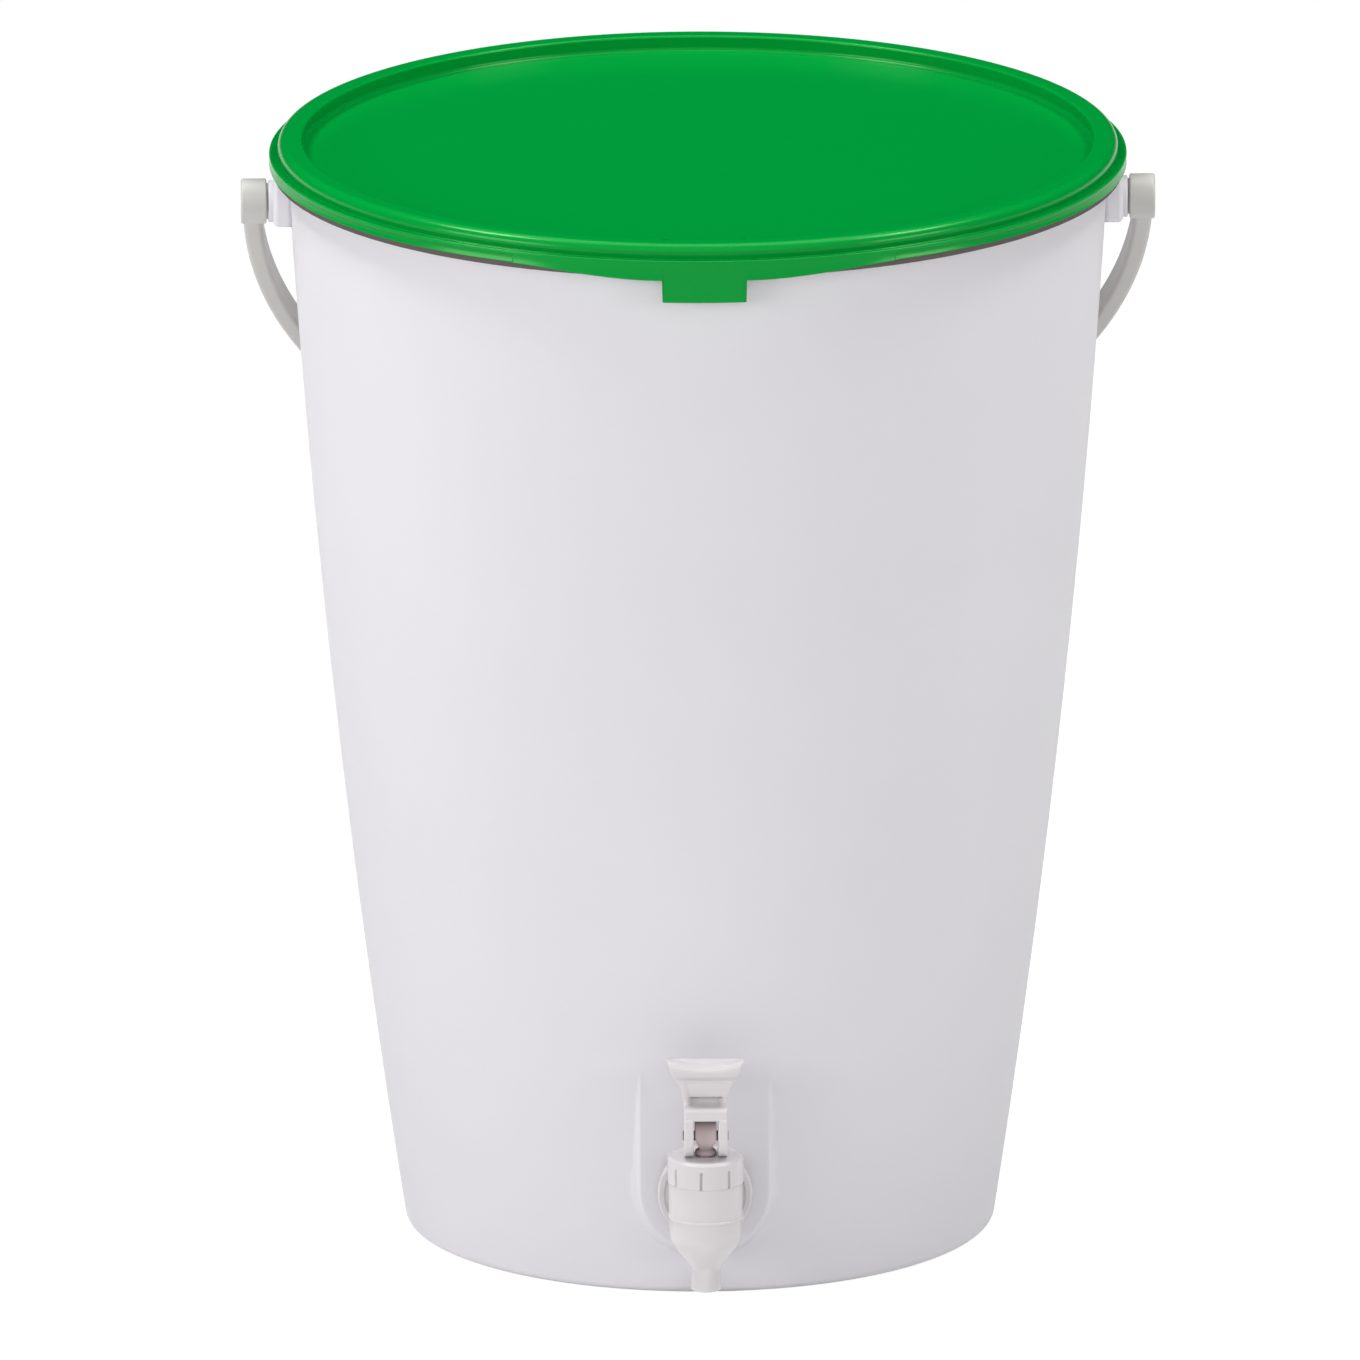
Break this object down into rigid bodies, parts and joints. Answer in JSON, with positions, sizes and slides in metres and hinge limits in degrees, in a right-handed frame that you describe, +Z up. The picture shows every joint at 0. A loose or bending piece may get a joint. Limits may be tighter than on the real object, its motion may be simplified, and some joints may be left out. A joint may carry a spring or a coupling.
{
  "type": "bokashi bin",
  "caption": "Tapered white bucket with a push-on green lid, a hanging bail, a lever tap at the foot and a drain grate inside, for fermenting kitchen waste.",
  "frame": {"origin": "middle of the foot ring, on the surface that the bin stands on", "axes": "+Z up, the tap faces -Y, the bail's hinge runs along X and the bail hangs at +Y"},
  "size_m": [0.3186, 0.3, 0.3898],
  "materials": {
    "bin_white": "moulded polypropylene, satin gloss",
    "lid_green": "moulded polypropylene, glossy",
    "handle_grey": "moulded polypropylene, satin",
    "grate_grey": "moulded polypropylene",
    "tap_white": "moulded ABS, glossy",
    "stem_grey": "moulded acetal",
    "seal_rubber": "soft moulded ring",
    "cup_silicone": "moulded silicone",
    "washer_rubber": "cut rubber sheet",
    "pin_steel": "drawn stainless wire"
  },
  "bodies": {
    "bin": {"bin_body": "bin_white", "tap_body": "tap_white", "tap_bonnet": "tap_white", "tap_seat_cup": "cup_silicone", "tap_outer_washer": "washer_rubber", "tap_inner_washer": "washer_rubber", "tap_back_nut": "tap_white"},
    "lid": {"lid": "lid_green", "lid_seal": "seal_rubber"},
    "handle": {"bail_handle": "handle_grey"},
    "grate": {"drain_grate": "grate_grey"},
    "stem": {"tap_stem": "stem_grey", "tap_pivot_pin": "pin_steel"},
    "lever": {"tap_lever": "tap_white"}
  },
  "joints": [
    {"name": "lid_lift", "type": "slide", "parent": "bin", "child": "lid", "axis": [0, 0, 1], "range_m": [0, 0.1]},
    {"name": "handle_swing", "type": "hinge", "parent": "bin", "child": "handle", "pos_m": [0, 0, 0.3675], "axis": [1, 0, 0], "range_deg": [0, 270.7]},
    {"name": "grate_lift", "type": "slide", "parent": "bin", "child": "grate", "axis": [0, 0, 1], "range_m": [0, 0.3]},
    {"name": "stem_lift", "type": "slide", "parent": "bin", "child": "stem", "axis": [0, 0, 1], "range_m": [0, 0.0035], "stiffness_N_per_m": 600, "springref_m": -0.0035, "deforming": ["tap_seat_cup"]},
    {"name": "lever_tilt", "type": "hinge", "parent": "stem", "child": "lever", "pos_m": [0, -0.13393, 0.066], "axis": [1, 0, 0], "range_deg": [0, 86.5]}
  ],
  "couplings": [
    {"joint": "lever_tilt", "follows": "stem_lift", "rad_per_m": 423.87}
  ]
}
